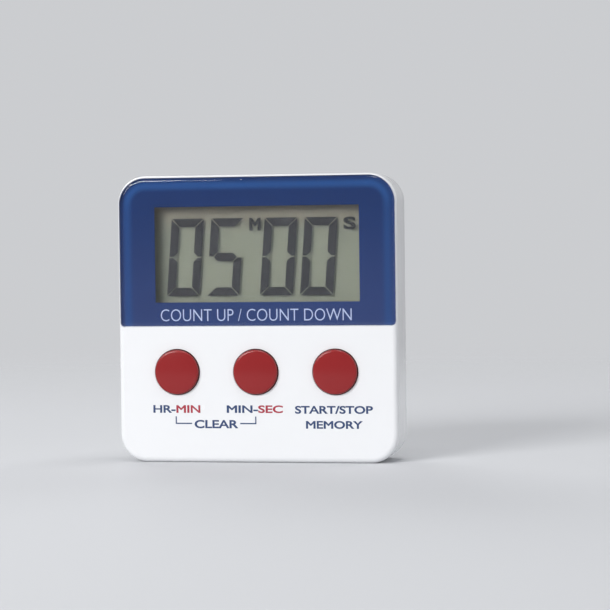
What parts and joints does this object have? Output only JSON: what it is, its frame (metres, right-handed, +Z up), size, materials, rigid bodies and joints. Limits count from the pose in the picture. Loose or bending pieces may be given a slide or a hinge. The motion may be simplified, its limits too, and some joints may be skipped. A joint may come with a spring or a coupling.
{
  "type": "kitchen timer",
  "caption": "Magnetic digital kitchen timer with a clear-lensed display, push buttons, battery door, fold-out stand and mode switch.",
  "frame": {"origin": "centre of the magnet's outer face, which lies on the steel surface that the timer hangs on", "axes": "+Y out of the back along the magnet's normal, display towards -Y, +Z up, +X right as seen from the front"},
  "size_m": [0.065, 0.0158, 0.0658],
  "materials": {
    "white_case": "glossy white ABS",
    "clear_lens": "clear polished acrylic",
    "blue_mask": "deep blue print",
    "tape": "double-sided foam tape",
    "stand": "satin white ABS",
    "magnet": "dark ferrite",
    "polariser": "grey-green film",
    "display_glass": "thin clear glass",
    "reflector": "brushed silver-green film",
    "frame_plastic": "matte white",
    "elastomer": "layered silicone",
    "board": "green solder resist",
    "epoxy": "black epoxy",
    "chip_parts": "black moulded",
    "ceramic": "tan ceramic",
    "crystal_can": "tinned can",
    "coil": "wound ferrite",
    "carbon": "carbon-filled silicone",
    "gold_pad": "gold plating",
    "silicone": "translucent grey silicone",
    "red_cap": "red ABS",
    "switch_metal": "folded steel",
    "knob": "black nylon",
    "sounder_brass": "brass",
    "sounder_white": "silvered ceramic",
    "red_wire": "red PVC",
    "black_wire": "black PVC",
    "cell_label": "plain blue sleeve",
    "plated_steel": "nickel-plated steel",
    "screw_steel": "zinc-plated steel"
  },
  "bodies": {
    "case": {"front_case": "white_case", "display_lens": "clear_lens", "lens_mask": "blue_mask", "lens_tape": "tape", "rear_case": "white_case", "magnet": "magnet", "front_polariser": "polariser", "front_glass": "display_glass", "rear_glass": "display_glass", "reflector": "reflector", "display_frame": "frame_plastic", "elastomer_strip": "elastomer", "circuit_board": "board", "chip_blob": "epoxy", "quartz_crystal": "crystal_can", "capacitors": "ceramic", "resistors": "chip_parts", "boost_coil": "coil", "transistor": "chip_parts", "key_contacts": "gold_pad", "keypad": "silicone", "mode_switch_body": "switch_metal", "sounder_plate": "sounder_brass", "sounder_ceramic": "sounder_white", "sounder_lead_red": "red_wire", "sounder_lead_black": "black_wire", "battery_lead_red": "red_wire", "battery_lead_black": "black_wire", "battery_cell": "cell_label", "battery_cap": "plated_steel", "battery_base": "plated_steel", "positive_plate": "plated_steel", "negative_plate": "plated_steel", "battery_spring": "plated_steel", "case_screws": "screw_steel", "board_screws": "screw_steel"},
    "hour_button": {"hour_button": "red_cap", "hour_pill": "carbon"},
    "minute_button": {"minute_button": "red_cap", "minute_pill": "carbon"},
    "start_button": {"start_button": "red_cap", "start_pill": "carbon"},
    "mode_switch": {"mode_switch_knob": "knob"},
    "stand": {"stand": "stand"},
    "battery_door": {"battery_door": "white_case"}
  },
  "joints": [
    {"name": "hour_press", "type": "slide", "parent": "case", "child": "hour_button", "axis": [0, 1, 0], "range_m": [0, 0.00085], "stiffness_N_per_m": 1500, "deforming": ["keypad"]},
    {"name": "minute_press", "type": "slide", "parent": "case", "child": "minute_button", "axis": [0, 1, 0], "range_m": [0, 0.00085], "stiffness_N_per_m": 1500, "deforming": ["keypad"]},
    {"name": "start_press", "type": "slide", "parent": "case", "child": "start_button", "axis": [0, 1, 0], "range_m": [0, 0.00085], "stiffness_N_per_m": 1500, "deforming": ["keypad"]},
    {"name": "mode_slide", "type": "slide", "parent": "case", "child": "mode_switch", "axis": [0, 0, 1], "range_m": [0, 0.002]},
    {"name": "stand_hinge", "type": "hinge", "parent": "case", "child": "stand", "pos_m": [0, -0.0021, -0.0135], "axis": [-1, 0, 0], "range_deg": [0, 104]},
    {"name": "door_slide", "type": "slide", "parent": "case", "child": "battery_door", "axis": [0, 0, -1], "range_m": [0, 0.0155]}
  ]
}
